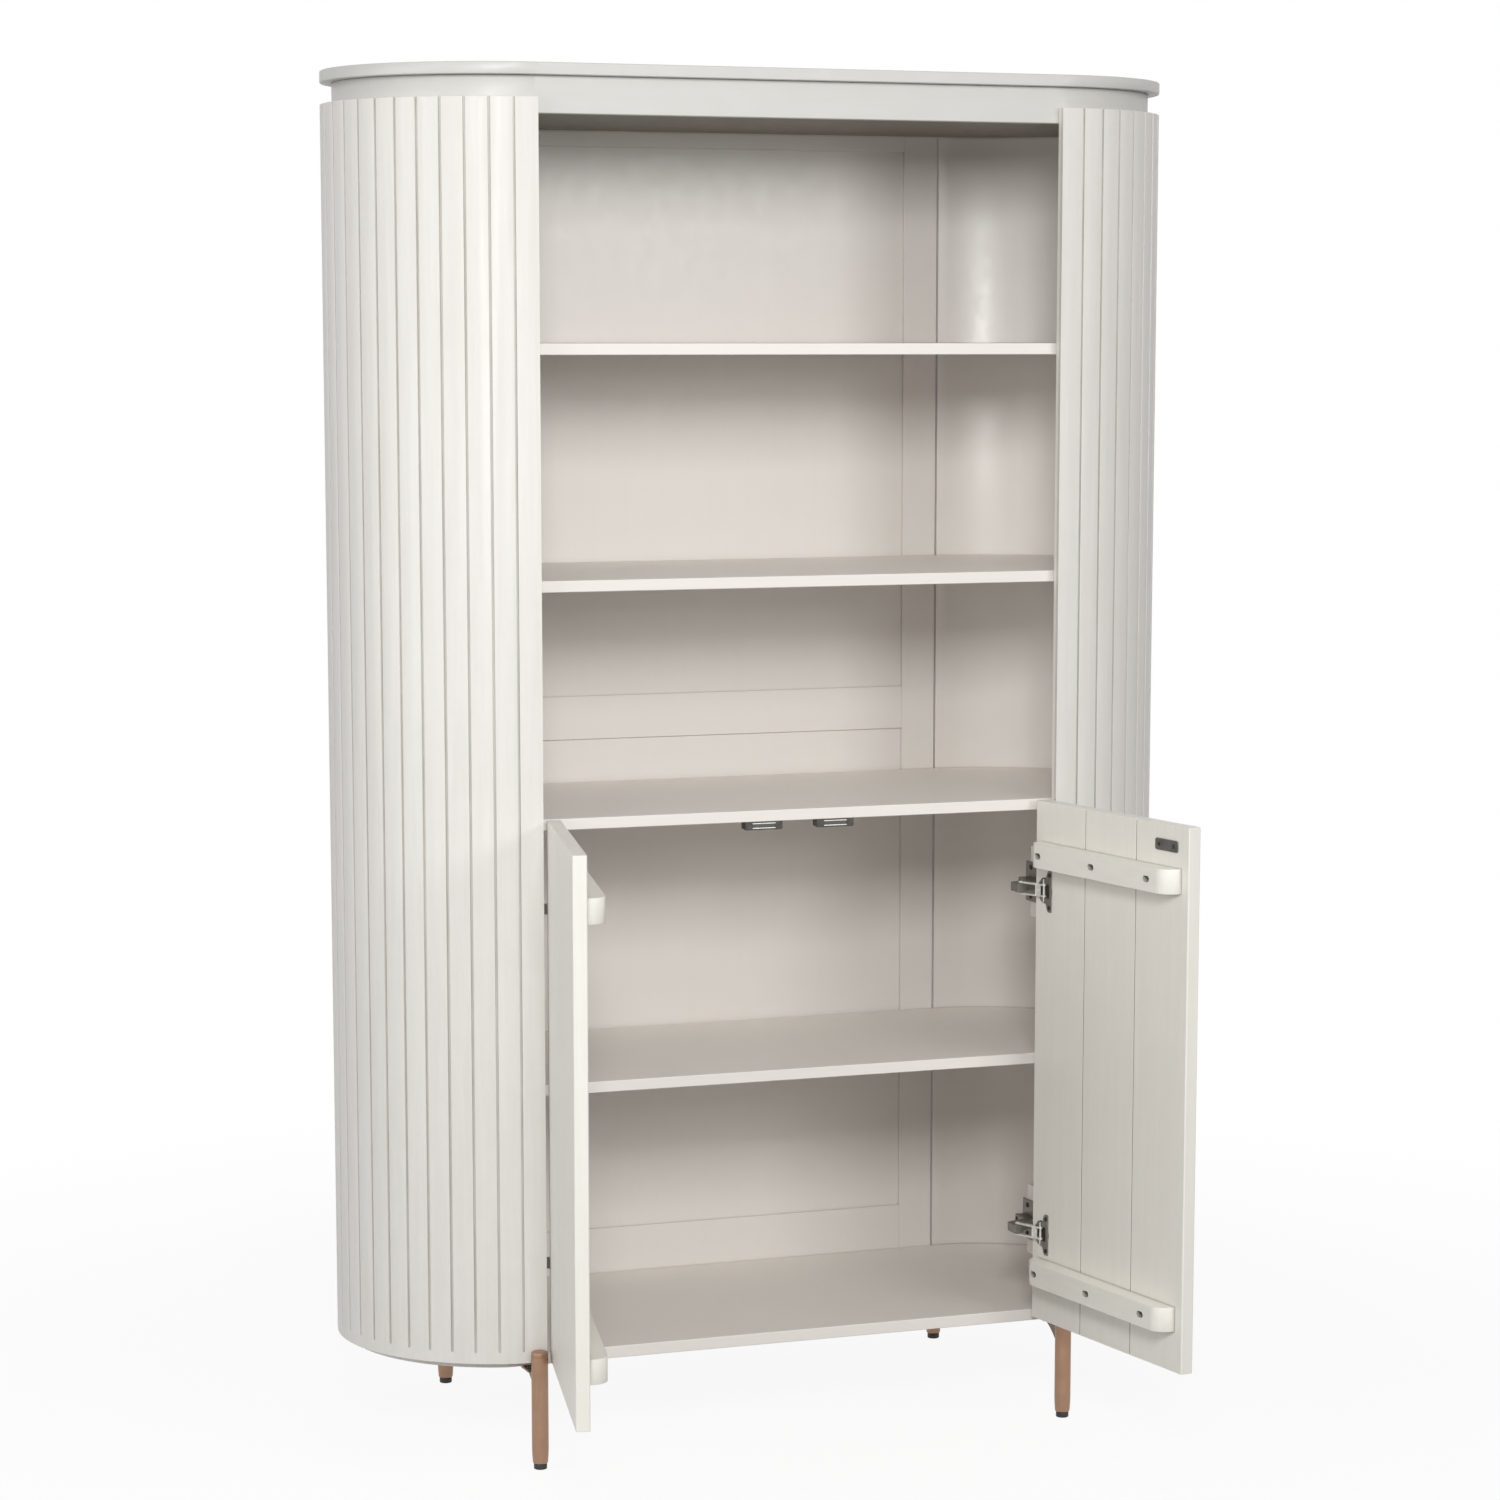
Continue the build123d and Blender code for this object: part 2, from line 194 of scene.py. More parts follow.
def paintedWood(name, look):
    paint = Paint(name)
    place = paint.place()
    sizes = woodPattern
    along = [sizes["alongGrain"] if axis == look["grain"] else 1 for axis in "xyz"]
    grainPlace = paint.stretched(place, along)
    grain = paint.noise(grainPlace, sizes["grain"], 3.0, .7)
    streaks = paint.noise(grainPlace, sizes["streaks"], 4.0, .6, .4)
    cloud = paint.noise(place, sizes["cloud"], 3.0)
    mottled = paint.noise(place, sizes["mottle"], 5.0, .7)
    dab = paint.noise(grainPlace, sizes["dabs"], 2.0, .8)
    tone = (streaks * .5 + cloud * .3 + mottled * .2).ramp(.36, .66)
    colour = paint.blend(tone, look["shade"], look["colour"])
    colour = paint.blend(1 - look["streak"], colour, look["colour"])
    pores = grain.ramp(.62, .78)
    colour = paint.blend(pores * look["streak"] * .5, colour, look["shade"])
    colour = paint.blend(paint.edges(sizes["wornEdge"]) * dab.ramp(.35, .6) * .55, colour, look["edge"])
    # painted shade with some dust: the paint darkens in creases and corners, where shade falls, varied by the
    # mottle
    creaseShadeAndDust = paint.creases(look["crease"]) * mottled.ramp(.2, .8, .75, 1)
    colour = paint.blend(creaseShadeAndDust * look["shadeAndDustShare"], colour, look["shadeAndDust"])
    return paint, place, colour, grain, streaks, mottled


def plainPaint(name):
    look = paintLooks[name]
    paint, place, colour, grain, streaks, mottled = paintedWood(name + "_painted_wood", look)
    height = streaks * .6 + grain * .4 + mottled * .5
    return paint.finish(
        Base_Color=colour,
        Roughness=mottled.ramp(.2, .8, look["roughness"] - .05, look["roughness"] + .08),
        Coat_Weight=look["coat"], Coat_Roughness=.28,
        Normal=paint.bump(height, look["depth"]))


# The slats: each has its own tone, and the grooves are painted darker, as painted shade with some dust
slatLook = {"count": 22, "radius": .219, "centre": .358,
            "shadeAndDust": rgb(.40, .375, .33), "share": .5, "spread": .03}


def slatPaint():
    look = paintLooks["outer"]
    paint, place, colour, grain, streaks, mottled = paintedWood("slat_painted_wood", look)
    x, y, z = paint.axes(place)
    across = x.absolute() - slatLook["centre"]
    angle = x.calc("ARCTAN2", across, y)
    number = (angle * (slatLook["count"] / math.pi) + 40).floor()  # 40 and 50 keep the slats' numbers apart
    side = x.ramp(-.01, .01) * 50
    tone = paint.node("ShaderNodeTexWhiteNoise", {"W": number + side}, out="Value", noise_dimensions="1D")
    colour = paint.blend(tone * slatLook["spread"] * 3, colour, look["shade"])
    reach = (across * across + y * y) ** .5
    # painted shade with some dust in the deeper part of each groove, varied by a streaky noise
    inGroove = reach.ramp(slatLook["radius"] - .0021, slatLook["radius"] - .0006, 1, 0)
    rubbed = paint.noise(paint.stretched(place, (1, 1, .12)), 60.0, 4.0, .7).ramp(.3, .7, .55, 1)
    colour = paint.blend(inGroove * rubbed * slatLook["share"], colour, slatLook["shadeAndDust"])
    height = streaks * .6 + grain * .5 + mottled * .3
    return paint.finish(
        Base_Color=colour,
        Roughness=mottled.ramp(.2, .8, .42, .56),
        Coat_Weight=look["coat"], Coat_Roughness=.3,
        Normal=paint.bump(height, look["depth"]))


# Metals and plastics
metalPattern = {"brush": 900.0, "cloud": 45.0, "speck": 1400.0, "wornEdge": .0007, "brighter": 1.35,
                "depth": .00003}
metalLooks = {
    "bronze": {"colour": rgb(.40, .24, .155), "dark": rgb(.27, .16, .10), "metal": .6, "roughness": .34,
               "brush": (1, 1, .03)},
    # a darker copy of the bronze: painted shade for the leg brackets, which sit in the cabinet's shadow
    "bracketBronze": {"colour": rgb(.20, .13, .085), "dark": rgb(.12, .08, .055), "metal": .6, "roughness": .4,
                      "brush": (1, 1, .1)},
    "nickel": {"colour": rgb(.88, .86, .83), "dark": rgb(.70, .68, .65), "metal": .35, "roughness": .26,
               "brush": (1, 1, 1)},
    "steel": {"colour": rgb(.30, .285, .265), "dark": rgb(.17, .16, .15), "metal": .9, "roughness": .36,
              "brush": (1, 1, .2)},
    "zinc": {"colour": rgb(.24, .235, .23), "dark": rgb(.14, .135, .13), "metal": .8, "roughness": .40,
             "brush": (1, .1, 1)},
    "blackened": {"colour": rgb(.055, .05, .045), "dark": rgb(.025, .022, .02), "metal": .6,
                  "roughness": .42, "brush": (1, 1, 1)},
}


def metal(name):
    look = metalLooks[name]
    paint = Paint(name + "_metal")
    place = paint.place()
    sizes = metalPattern
    brushed = paint.noise(paint.stretched(place, look["brush"]), sizes["brush"], 3.0, .7)
    cloud = paint.noise(place, sizes["cloud"], 4.0)
    speck = paint.noise(place, sizes["speck"], 2.0)
    colour = paint.blend((brushed * .5 + cloud * .5).ramp(.35, .65), look["dark"], look["colour"])
    colour = paint.blend(.6, colour, look["colour"])
    bright = rgb(*[min(1.0, part * sizes["brighter"]) for part in look["colour"][:3]])
    colour = paint.blend(paint.edges(sizes["wornEdge"]) * .6, colour, bright)
    rough = look["roughness"]
    return paint.finish(
        Base_Color=colour, Metallic=look["metal"],
        Roughness=(brushed * .6 + cloud * .4).ramp(.3, .7, rough - .07, rough + .1),
        Normal=paint.bump(brushed * .7 + speck * .3, sizes["depth"]))


plasticPattern = {"pebbles": 1700.0, "haze": 130.0, "wornEdge": .001, "depth": .00006}
plasticLooks = {
    # the colour of the dark strips in the door's board joints, a painted shade
    "gapShade": {"colour": rgb(.21, .18, .14), "worn": rgb(.31, .275, .225), "roughness": .8},
    "foot": {"colour": rgb(.022, .021, .02), "worn": rgb(.07, .065, .06), "roughness": .55},
    "catch": {"colour": rgb(.05, .045, .04), "worn": rgb(.12, .11, .10), "roughness": .4},
    "magnet": {"colour": rgb(.09, .085, .08), "worn": rgb(.16, .15, .14), "roughness": .6},
}


def plastic(name):
    look = plasticLooks[name]
    paint = Paint(name + "_plastic")
    place = paint.place()
    sizes = plasticPattern
    pebble = paint.node("ShaderNodeTexVoronoi", {"Vector": place, "Scale": sizes["pebbles"]}, out="Distance")
    haze = paint.noise(place, sizes["haze"], 4.0)
    colour = paint.blend(haze.ramp(.4, .75) * .5, look["colour"], look["worn"])
    colour = paint.blend(paint.edges(sizes["wornEdge"]) * .5, colour, look["worn"])
    return paint.finish(
        Base_Color=colour,
        Roughness=haze.ramp(.2, .8, look["roughness"] - .08, look["roughness"] + .1),
        Normal=paint.bump(pebble * .7 + haze * .3, sizes["depth"]))


finishes = {name: plainPaint(name) for name in paintLooks}
finishes["slats"] = slatPaint()
finishes.update({name: metal(name) for name in metalLooks})
finishes.update({name: plastic(name) for name in plasticLooks})
print("made", len(finishes), "materials")

# Which finish each part takes
wears = {
    "board": ["top_board", "band_under_top"],
    "shelf": ["upper_shelf", "middle_shelf", "door_head_shelf", "cupboard_shelf", "bottom_board"],
    "ceiling": ["ceiling_board"],
    "inner": ["end_liner", "back_stile", "back_panel", "rail", "hinge_blocks"],
    "slats": ["fluted_end_skin"],
    "door": ["door_boards"],
    "batten": ["batten"],
    "bronze": ["leg"],
    "bracketBronze": ["leg_bracket"],
    "nickel": ["hinge_links", "hinge_link_pins"],
    "steel": ["hinge_cups", "hinge_arms", "hinge_plates"],
    "zinc": ["strike_plate"],
    "foot": ["foot_caps"],
    "catch": ["catch_housing"],
    "magnet": ["catch_magnet"],
}


def finishFor(node):
    endings = [(len(ending), name) for name, ends in wears.items() for ending in ends if node.endswith(ending)]
    return finishes[max(endings)[1]]


for name, thing in nodes.items():
    thing.data.materials.clear()
    thing.data.materials.append(finishFor(name))


# Softened edges on the wooden and pressed parts
softening = {
    "board": .0012, "shelf": .0012, "ceiling_board": .0008, "band_under_top": .0012, "end_liner": .0006,
    "stile": .0006, "rail": .0006, "back_panel": .0004, "batten": .0014, "boards": .0006,
    "hinge_blocks": .0008, "hinge_plates": .0006, "hinge_arms": .0008, "leg_bracket": .0008,
    "catch_housing": .0006, "strike_plate": .0003, "foot_caps": .0012, "hinge_cups": .0003,
}


def soften(thing, width):
    # welded and cleared of flat facets first, so that the bevel runs along whole edges
    weld = thing.modifiers.new("weld", "WELD")
    weld.merge_threshold = .00001
    flat = thing.modifiers.new("flat", "DECIMATE")
    flat.decimate_type = "DISSOLVE"
    flat.angle_limit = math.radians(.3)
    bevel = thing.modifiers.new("bevel", "BEVEL")
    bevel.width = width
    bevel.segments = 2
    bevel.limit_method = "ANGLE"
    bevel.angle_limit = math.radians(38)
    bevel.harden_normals = True


for name, thing in nodes.items():
    for ending, width in softening.items():
        if name.endswith(ending):
            soften(thing, width)
            break
print("softened the edges")


def newPiece(name, builder, body, finish):
    made = bpy.data.meshes.new(name)
    builder.to_mesh(made)
    builder.free()
    piece = bpy.data.objects.new(name, made)
    bpy.context.scene.collection.objects.link(piece)
    made.materials.append(finish)
    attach(piece, body)
    return piece


def smoothed(piece, angle):
    for face in piece.data.polygons:
        face.use_smooth = True
    piece.data.set_sharp_from_angle(angle=math.radians(angle))


# Fluted end: a fine mesh of slats with rounded edges and grooves that stop above the rim
fluteLook = {"width": .0034, "depth": .0033, "wall": .0004, "stop": .015, "skin": .007,
             "edge": .0007, "shoulder": .0003, "crown": .00025, "rim": .0005,
             "firstRows": (.0004, .004), "belowStop": .0005, "aboveStop": .05, "topRow": .0006}


def fluteDepth(away):
    # how deep the surface lies at a distance from the middle of a groove
    half = fluteLook["width"] / 2
    edge = fluteLook["edge"]
    wall = fluteLook["wall"]
    if away <= half - wall:
        return fluteLook["depth"]
    if away <= half:
        return fluteLook["depth"] * (1 - .55 * (away - half + wall) / wall)
    if away <= half + edge:
        share = 1 - (away - half) / edge
        return fluteLook["depth"] * .06 * share * share
    return 0.0


def flutedEnd(side, name):
    low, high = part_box(name)
    radius = slatLook["radius"]
    centre = slatLook["centre"]
    count = slatLook["count"]
    pitch = math.pi / count
    look = fluteLook
    half = look["width"] / 2
    edge, shoulder, wall = look["edge"], look["shoulder"], look["wall"]
    offsets = [-half - edge, -half - shoulder, -half, -half + wall / 2, -half + wall, 0,
               half - wall, half - wall / 2, half, half + shoulder, half + edge]
    angles = [0.0]
    for number in range(1, count):
        angles += [number * pitch + offset / radius for offset in offsets]
        angles += [(number + .5) * pitch] if number < count - 1 else []
    angles += [math.pi]
    stop = low.z + look["stop"]
    heights = [low.z] + [low.z + rise for rise in look["firstRows"]] + [stop - look["belowStop"]]
    heights += [stop + half * (1 - math.cos(step * math.pi / 12)) for step in range(7)]
    heights += [stop + look["aboveStop"], (low.z + high.z) / 2, high.z - look["topRow"], high.z]
    mesh = bmesh.new()
    rows = []
    for height in heights:
        row = []
        for angle in angles:
            number = round(angle / pitch)
            away = abs(angle - number * pitch) * radius
            rise = stop + half - height
            reach = away if rise <= 0 else math.hypot(away, rise)
            deep = fluteDepth(reach) if 0 < number < count else 0.0
            slat = angle / pitch % 1
            deep += look["crown"] * (2 * slat - 1) ** 2
            if height in (heights[0], heights[-1]):
                deep = max(deep, look["rim"])
            out = radius - deep
            row.append(mesh.verts.new((side * (centre + out * math.sin(angle)), -out * math.cos(angle), height)))
        rows.append(row)
    inner = radius - look["skin"]
    backs = [[mesh.verts.new((side * (centre + inner * math.sin(angle)), -inner * math.cos(angle), height))
              for angle in angles] for height in (heights[0], heights[-1])]
    strips = rows + [backs[1], backs[0], rows[0]]
    for lower, upper in zip(strips, strips[1:]):
        for a, b, c, d in zip(lower, lower[1:], upper[1:], upper):
            mesh.faces.new((a, b, c, d) if side > 0 else (d, c, b, a))
    for end in (0, -1):
        rim = [row[end] for row in rows] + [backs[1][end], backs[0][end]]
        mesh.faces.new(rim if (end == 0) == (side < 0) else rim[::-1])
    bmesh.ops.recalc_face_normals(mesh, faces=mesh.faces)
    piece = newPiece(name + "_slats", mesh, "carcass", finishes["slats"])
    smoothed(piece, 28)
    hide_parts(name)


flutedEnd(1, "right_fluted_end_skin")
flutedEnd(-1, "left_fluted_end_skin")
print("built the fluted ends")


# Small screws and hardware details. Places on a door are given as on the shut door:
# inwards from its hinge edge, behind its outer face, and up from the floor.
joints = {joint["name"]: joint for joint in frame["joints"]}
doorLook = {"edge": .0065, "face": .0035, "thick": .018, "width": .3535, "boards": 3}


def doorMatrix(side, inwards, behind, up):
    # a frame on the open door: X runs inwards from the hinge edge, Z points out of its inner face
    sign = 1 if side == "right" else -1
    hinge = joints[side + "_door_hinge"]
    turn = -math.radians(hinge["range_deg"][0])
    across = Vector((-math.cos(turn), -math.sin(turn), 0))
    out = Vector((-math.sin(turn), math.cos(turn), 0))
    place = Vector((abs(hinge["pos_m"][0]), hinge["pos_m"][1], up))
    place += across * (inwards - doorLook["edge"]) + out * (behind - doorLook["face"])
    across.x, out.x, place.x = across.x * sign, out.x * sign, place.x * sign
    upward = out.cross(across)
    basis = Matrix((across, upward, out)).transposed().to_4x4()
    return Matrix.Translation(place) @ basis


def facing(place, direction):
    # a frame at a place whose Z points along a direction
    turn = Vector(direction).to_track_quat("Z", "Y").to_matrix().to_4x4()
    return Matrix.Translation(Vector(place)) @ turn


def ring(mesh, matrix, points):
    return [mesh.verts.new(matrix @ Vector(point)) for point in points]


def join(mesh, first, second):
    count = len(first)
    for number in range(count):
        after = (number + 1) % count
        mesh.faces.new((first[number], first[after], second[after], second[number]))


def circle(radius, height, count=24, start=0.0):
    steps = [start + number * math.tau / count for number in range(count)]
    return [(radius * math.cos(step), radius * math.sin(step), height) for step in steps]


def turned(mesh, matrix, profile, count=48):
    # a closed round form from pairs of radius and height
    rings = [ring(mesh, matrix, circle(radius, height, count)) for radius, height in profile]
    for lower, upper in zip(rings, rings[1:]):
        join(mesh, lower, upper)
    mesh.faces.new(rings[-1])
    mesh.faces.new(rings[0][::-1])


def crossOutline(reach, half, height):
    # the recess in a screw head, as 24 points that line up with a ring of 24
    middle = (reach + half) / 2
    quarter = [(reach, 0), (reach, half), (middle, half), (half, half), (half, middle), (half, reach)]
    points = []
    for step in range(4):
        turn = Matrix.Rotation(step * math.pi / 2, 2)
        points += [tuple(turn @ Vector(point)) + (height,) for point in quarter]
    return points


def crossScrew(mesh, matrix, radius, height, turn=0.0):
    matrix = matrix @ Matrix.Rotation(turn, 4, "Z")
    profile = [(1.0, -.1), (1.0, .25), (.93, .62), (.78, .92), (.7, 1.0)]
    rings = [ring(mesh, matrix, circle(radius * wide, height * tall)) for wide, tall in profile]
    rings.append(ring(mesh, matrix, crossOutline(radius * .56, radius * .13, height * 1.03)))
    rings.append(ring(mesh, matrix, crossOutline(radius * .4, radius * .1, height * .3)))
    for lower, upper in zip(rings, rings[1:]):
        join(mesh, lower, upper)
    mesh.faces.new(rings[-1])
    mesh.faces.new(rings[0][::-1])


def screwSet(name, body, places, radius, height, finish="blackened"):
    mesh = bmesh.new()
    for number, matrix in enumerate(places):
        crossScrew(mesh, matrix, radius, height, .35 * number)
    piece = newPiece(name, mesh, body, finishes[finish])
    smoothed(piece, 40)
    return piece


def boxBar(mesh, low, high, edge, matrix=Matrix()):
    # a bar with rounded edges between two corners
    made = bmesh.ops.create_cube(mesh, size=1.0)
    size = Vector(high) - Vector(low)
    middle = (Vector(high) + Vector(low)) / 2
    for vert in made["verts"]:
        vert.co = matrix @ (Vector([vert.co[axis] * size[axis] for axis in range(3)]) + middle)
    sides = list(dict.fromkeys(side for vert in made["verts"] for side in vert.link_edges))
    bmesh.ops.bevel(mesh, geom=sides, offset=edge, segments=3, profile=.6, affect="EDGES")


def middleOf(name):
    low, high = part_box(name)
    return (low + high) / 2


# Where each kind of screw sits, and its head
battenScrews = {"first": .041, "step": .1265, "count": 3, "behind": .028, "radius": .0032, "height": .0022}
strikeScrews = {"inwards": .305, "behind": .0195, "spread": .032, "radius": .0027, "height": .0009}
cupScrews = {"inwards": .0350, "behind": .0196, "spread": .0440, "radius": .0031, "height": .0009}
hingeRows = (.7275, .259)


def doorScrews(side):
    body = side + "_door"
    battens = [middleOf(side + "_door_top_batten").z, middleOf(side + "_door_bottom_batten").z]
    look = battenScrews
    places = [doorMatrix(side, look["first"] + look["step"] * number, look["behind"], up)
              for up in battens for number in range(look["count"])]
    screwSet(side + "_batten_screws", body, places, look["radius"], look["height"])
    look = strikeScrews
    up = middleOf(side + "_strike_plate").z
    places = [doorMatrix(side, look["inwards"] + way * look["spread"] / 2, look["behind"], up) for way in (-1, 1)]
    screwSet(side + "_strike_screws", body, places, look["radius"], look["height"])
    look = cupScrews
    places = [doorMatrix(side, look["inwards"], look["behind"], up + way * look["spread"] / 2)
              for up in hingeRows for way in (-1, 1)]
    screwSet(side + "_cup_screws", body, places, look["radius"], look["height"])


for side in ("right", "left"):
    doorScrews(side)
print("fitted the door screws")

# Painted shade: a dark strip at the bottom of each board joint, on the inner face, stands in for the shade in the
# gap between boards
gapShadeLook = {"half": .0008, "sunk": .0005, "deep": .0004, "end": .0015, "edge": .0001}


def boardGapShades(side):
    low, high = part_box(side + "_door_boards")
    look = gapShadeLook
    tall = (high.z - low.z) / 2 - look["end"]
    mesh = bmesh.new()
    for number in range(1, doorLook["boards"]):
        inwards = number * doorLook["width"] / doorLook["boards"]
        matrix = doorMatrix(side, inwards, doorLook["thick"] - look["sunk"], (low.z + high.z) / 2)
        boxBar(mesh, (-look["half"], -tall, -look["deep"]), (look["half"], tall, 0), look["edge"], matrix)
    newPiece(side + "_board_gap_shades", mesh, side + "_door", finishes["gapShade"])


for side in ("right", "left"):
    boardGapShades(side)

# Pressed cups: a flange whose wings stand off the middle of the bore, and a deep mouth
cupLook = {
    "flange": [(.0395, .009), (.0395, .0265), (.0380, .0280), (.0320, .0280), (.0295, .0255),
               (.0265, .0170), (.0150, .0150), (.0078, .0088), (.0058, 0)],
    "mouth": [(.0345, .006), (.0340, .0095), (.0330, .0100), (.0290, .0100), (.0260, .0100),
              (.0220, .0100), (.0140, .0100), (.0088, .0085), (.0080, 0)],
    "proud": .0012, "round": .0003, "deep": .0095, "waist": .0045,
}


def mirroredOutline(points, height, inset):
    # the upper half of an outline and its reflection, at a height over the door's inner face
    middle = sum(point[0] for point in points) / len(points)
    upper = [(x + inset * (1 if x < middle else -1), y - (inset if y else 0), height) for x, y in points]
    return [(x, -y, z) for x, y, z in upper[::-1] if y] + upper


def pressedCups(side):
    look = cupLook
    mesh = bmesh.new()
    for up in hingeRows:
        matrix = doorMatrix(side, 0, doorLook["thick"], up)
        rounding = look["round"]
        layers = [("flange", 0, 0), ("flange", look["proud"] - rounding, 0), ("flange", look["proud"], rounding),
                  ("mouth", look["proud"], 0), ("mouth", look["proud"] - rounding, rounding),
                  ("mouth", -look["waist"], rounding), ("mouth", -look["deep"], rounding * 4)]
        rings = [ring(mesh, matrix, mirroredOutline(look[outline], height, inset))
                 for outline, height, inset in layers]
        for lower, upper in zip(rings, rings[1:]):
            join(mesh, lower, upper)
        mesh.faces.new(rings[-1])
    bmesh.ops.recalc_face_normals(mesh, faces=mesh.faces)
    piece = newPiece(side + "_pressed_cups", mesh, side + "_door", finishes["steel"])
    smoothed(piece, 30)
    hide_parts(side + "_hinge_cups")


for side in ("right", "left"):
    pressedCups(side)


# Screws of the mounting plates and the adjusting screws of the hinge arms
plateScrews = {"spread": .040, "radius": .0036, "height": .0018}
armScrews = {"radius": .0030, "height": .0012, "along": (.006, .026), "armWidth": .013}


def hingeScrews(side):
    sign = 1 if side == "right" else -1
    low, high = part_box(side + "_hinge_plates")
    inner = min(abs(low.x), abs(high.x)) * sign
    out = (-sign, 0, 0)
    places = [facing((inner, (low.y + high.y) / 2, up + way * plateScrews["spread"] / 2), out)
              for up in hingeRows for way in (-1, 1)]
    screwSet(side + "_plate_screws", "carcass", places, plateScrews["radius"], plateScrews["height"])
    armLow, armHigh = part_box(side + "_hinge_arms")
    plate = (max(abs(armLow.x), abs(armHigh.x)) - armScrews["armWidth"]) * sign
    places = [facing((plate, armHigh.y - along, up), out) for up in hingeRows for along in armScrews["along"]]
    screwSet(side + "_arm_screws", "carcass", places, armScrews["radius"], armScrews["height"])


for side in ("right", "left"):
    hingeScrews(side)

# Pole plates either side of each catch magnet
poleLook = {"thick": .0012, "proud": .0006, "deep": .007, "wider": .001, "edge": .0003}
catchScrews = {"fromEnd": .005, "radius": .0024, "height": .0008}


def catchPoles(side):
    low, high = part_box(side + "_catch_magnet")
    mesh = bmesh.new()
    for bottom in (low.z - poleLook["thick"], high.z):
        boxBar(mesh, (low.x - poleLook["wider"], low.y - poleLook["proud"], bottom),
               (high.x + poleLook["wider"], low.y + poleLook["deep"], bottom + poleLook["thick"]), poleLook["edge"])
    newPiece(side + "_catch_poles", mesh, "carcass", finishes["nickel"])
    shellLow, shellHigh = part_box(side + "_catch_housing")
    depth = (shellLow.y + shellHigh.y) / 2
    ends = (shellLow.x + catchScrews["fromEnd"], shellHigh.x - catchScrews["fromEnd"])
    places = [facing((x, depth, shellLow.z), (0, 0, -1)) for x in ends]
    screwSet(side + "_catch_screws", "carcass", places, catchScrews["radius"], catchScrews["height"])


for side in ("right", "left"):
    catchPoles(side)

# Pressed covers over the hinge links, with the rivets they turn on
linkLook = {"start": .0030, "end": .0108, "half": .0074, "thick": .0012, "wide": .0049, "deep": .0026,
            "edge": .0004, "rivet": .0023, "head": .0007, "outer": .0086, "armEnd": .0065, "armNose": .005}


def linkCovers(side):
    sign = 1 if side == "right" else -1
    look = linkLook
    pivot = Vector(joints[side + "_link_pivot"]["pos_m"])
    low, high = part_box(side + "_hinge_arms")
    inner = min(abs(low.x), abs(high.x)) + look["armEnd"]
    far = Vector((sign * inner, low.y + look["armNose"], pivot.z))
    along = (far - pivot).normalized()
    out = Vector((-sign * along.y, sign * along.x, 0))
    turn = Matrix((along, out.cross(along), out)).transposed().to_4x4()
    mesh = bmesh.new()
    for up in hingeRows:
        matrix = Matrix.Translation((pivot.x, pivot.y, up)) @ turn
        boxBar(mesh, (look["start"], -look["half"], look["wide"] - look["thick"]),
               (look["end"], look["half"], look["wide"]), look["edge"], matrix)
        for lower in (-look["half"], look["half"] - look["thick"]):
            boxBar(mesh, (look["start"], lower, look["wide"] - look["deep"]),
                   (look["end"], lower + look["thick"], look["wide"] - look["edge"]), look["edge"] / 2, matrix)
        for end in (pivot, far):
            for way in (1, -1):
                head = facing((end.x, end.y, up + way * look["outer"]), (0, 0, way))
                size = look["rivet"]
                turned(mesh, head, [(size, 0), (size, look["head"] * .5), (size * .7, look["head"])], 20)
    links = side + "_hinge_links"
    piece = newPiece(side + "_hinge_link_covers", mesh, links, finishes["nickel"])
    smoothed(piece, 35)


for side in ("right", "left"):
    linkCovers(side)

# Four screws hold each leg bracket up to the bottom board
bracketScrews = {"across": .0085, "along": (.030, .064), "sunk": .003, "radius": .0040, "height": .0022}


def bracketScrewPlaces(name, way):
    low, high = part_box(name)
    start = low.y if way > 0 else high.y
    middle = middleOf(name).x
    return [facing((middle + step * bracketScrews["across"], start + way * along, high.z - bracketScrews["sunk"]),
                   (0, 0, -1)) for along in bracketScrews["along"] for step in (-1, 1)]


places = []
for side in ("right", "left"):
    for end, way in (("front", 1), ("back", -1)):
        places += bracketScrewPlaces(side + "_" + end + "_leg_bracket", way)
# the bracket screws take the same darker, shaded copy of the bronze
screwSet("bracket_screws", "carcass", places, bracketScrews["radius"], bracketScrews["height"],
         "bracketBronze")
print("fitted the hinge, catch and bracket screws")

# Legs: drawn tubes with a domed cap, a seam under it, and a slight taper above the foot
legLook = {"taper": .024, "narrow": .0011, "cap": .0066, "seam": .0005, "dome": .0022, "flatter": 1.6,
           "rim": .0007}


def legTube(name):
    low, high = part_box(name)
    radius = (high.x - low.x) / 2
    look = legLook
    foot = low.z
    top = high.z
    seam = top - look["cap"]
    groove = look["seam"]
    narrow = look["narrow"]
    profile = [(radius - narrow - look["rim"], foot), (radius - narrow, foot + look["rim"])]
    profile += [(radius - narrow * (1 - step / 4) ** 2, foot + look["taper"] * step / 4) for step in (1, 2, 3, 4)]
    profile += [(radius, seam - groove * 2), (radius - groove, seam - groove),
                (radius - groove, seam), (radius, seam + groove)]
    for step in range(7):
        angle = step * math.pi / 12
        profile.append((radius - look["dome"] * (1 - math.cos(angle)) * look["flatter"],
                        top - look["dome"] * (1 - math.sin(angle))))
    mesh = bmesh.new()
    middle = (low + high) / 2
    turned(mesh, Matrix.Translation((middle.x, middle.y, 0)), profile)
    piece = newPiece(name + "_tube", mesh, "carcass", finishes["bronze"])
    smoothed(piece, 34)
    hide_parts(name)


for side in ("right", "left"):
    for end in ("front", "back"):
        legTube(side + "_" + end + "_leg")
print("turned the legs")


